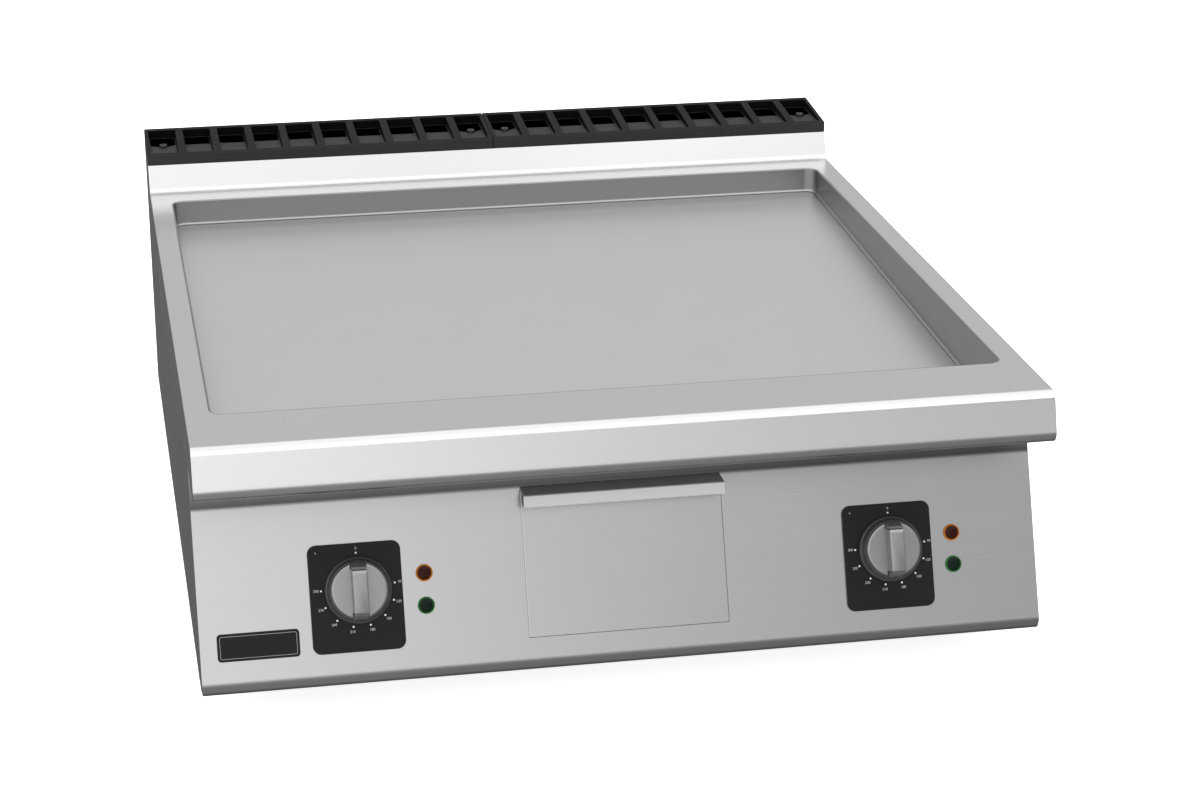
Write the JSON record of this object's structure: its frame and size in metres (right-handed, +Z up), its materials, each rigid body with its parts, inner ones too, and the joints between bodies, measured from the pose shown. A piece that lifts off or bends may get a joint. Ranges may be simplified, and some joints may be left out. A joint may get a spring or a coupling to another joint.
{
  "type": "flat top griddle",
  "caption": "Counter-top electric flat top griddle: sunken smooth cooking plate, sloping control panel with dials, grease drawer and rear vent grilles.",
  "frame": {"origin": "centre of the bottom of the whole object's box, on the surface the feet stand on", "axes": "+Z up, front (controls) towards -Y, +X to the right seen from the front"},
  "size_m": [0.8, 0.93, 0.3399],
  "materials": {
    "stainless": "satin stainless sheet, fine brushed grain along the width",
    "plate_steel": "bead-blasted satin steel cooking surface",
    "cast_black": "black enamelled casting, slightly rough",
    "zinc": "bright zinc plating",
    "black_plastic": "satin black moulded plastic",
    "silver_cap": "satin metallic silver coating on moulded plastic",
    "amber_lens": "translucent amber lens, unlit",
    "green_lens": "translucent green lens, unlit",
    "galvanised": "galvanised sheet, dull grey",
    "element_alloy": "dark oxidised sheath of a tubular heater",
    "ceramic_fibre": "off-white ceramic fibre blanket",
    "copper": "drawn copper capillary and bulb",
    "grey_plastic": "grey engineering plastic",
    "red_plastic": "red moulded push button",
    "rubber": "black moulded rubber"
  },
  "bodies": {
    "casing": {"worktop": "stainless", "recess_collar": "stainless", "drain_spout": "stainless", "front_panel": "stainless", "rear_panel": "stainless", "side_panel_left": "stainless", "side_panel_right": "stainless", "cooking_plate": "plate_steel", "flue_grille_left": "cast_black", "flue_grille_right": "cast_black", "grille_screw_left_outer": "zinc", "grille_screw_left_inner": "zinc", "grille_screw_right_outer": "zinc", "grille_screw_right_inner": "zinc", "badge_plate": "black_plastic", "cable_gland": "black_plastic", "safety_cutout": "black_plastic", "dial_plate_left": "black_plastic", "dial_plate_right": "black_plastic", "lamp_holder_amber_left": "black_plastic", "lamp_holder_amber_right": "black_plastic", "lamp_holder_green_left": "black_plastic", "lamp_holder_green_right": "black_plastic", "wiring_loom_left": "black_plastic", "wiring_loom_right": "black_plastic", "lamp_amber_left": "amber_lens", "lamp_amber_right": "amber_lens", "lamp_green_left": "green_lens", "lamp_green_right": "green_lens", "base_tray": "galvanised", "heat_shield": "galvanised", "cross_rail_front": "galvanised", "cross_rail_rear": "galvanised", "element_clamp_left": "galvanised", "element_clamp_right": "galvanised", "drawer_runner_left": "galvanised", "drawer_runner_right": "galvanised", "heating_element_left": "element_alloy", "heating_element_right": "element_alloy", "insulation_pad": "ceramic_fibre", "thermostat_bulb_left": "copper", "thermostat_bulb_right": "copper", "terminal_block": "grey_plastic", "contactor": "grey_plastic", "thermostat_left": "grey_plastic", "thermostat_right": "grey_plastic"},
    "knob_left": {"knob_body_left": "black_plastic", "knob_cap_left": "silver_cap", "thermostat_shaft_left": "zinc"},
    "knob_right": {"knob_body_right": "black_plastic", "knob_cap_right": "silver_cap", "thermostat_shaft_right": "zinc"},
    "drawer": {"drawer_front": "stainless", "drawer_handle": "stainless", "drawer_box": "stainless"},
    "reset": {"reset_button": "red_plastic"},
    "foot_front_left": {"foot_front_left": "rubber"},
    "foot_front_right": {"foot_front_right": "rubber"},
    "foot_rear_left": {"foot_rear_left": "rubber"},
    "foot_rear_right": {"foot_rear_right": "rubber"}
  },
  "joints": [
    {"name": "knob_left_turn", "type": "hinge", "parent": "casing", "child": "knob_left", "pos_m": [-0.2522, -0.4185, 0.12736], "axis": [0, 0.9342, -0.3567], "range_deg": [0, 272]},
    {"name": "knob_right_turn", "type": "hinge", "parent": "casing", "child": "knob_right", "pos_m": [0.2558, -0.4185, 0.12736], "axis": [0, 0.9342, -0.3567], "range_deg": [0, 272]},
    {"name": "drawer_slide", "type": "slide", "parent": "casing", "child": "drawer", "axis": [0, -1, 0], "range_m": [0, 0.28]},
    {"name": "foot_front_left_height", "type": "slide", "parent": "casing", "child": "foot_front_left", "axis": [0, 0, -1], "range_m": [0, 0.012]},
    {"name": "foot_front_right_height", "type": "slide", "parent": "casing", "child": "foot_front_right", "axis": [0, 0, -1], "range_m": [0, 0.012]},
    {"name": "foot_rear_left_height", "type": "slide", "parent": "casing", "child": "foot_rear_left", "axis": [0, 0, -1], "range_m": [0, 0.012]},
    {"name": "foot_rear_right_height", "type": "slide", "parent": "casing", "child": "foot_rear_right", "axis": [0, 0, -1], "range_m": [0, 0.012]},
    {"name": "reset_press", "type": "slide", "parent": "casing", "child": "reset", "axis": [0, 0, -1], "range_m": [0, 0.002], "stiffness_N_per_m": 300}
  ]
}
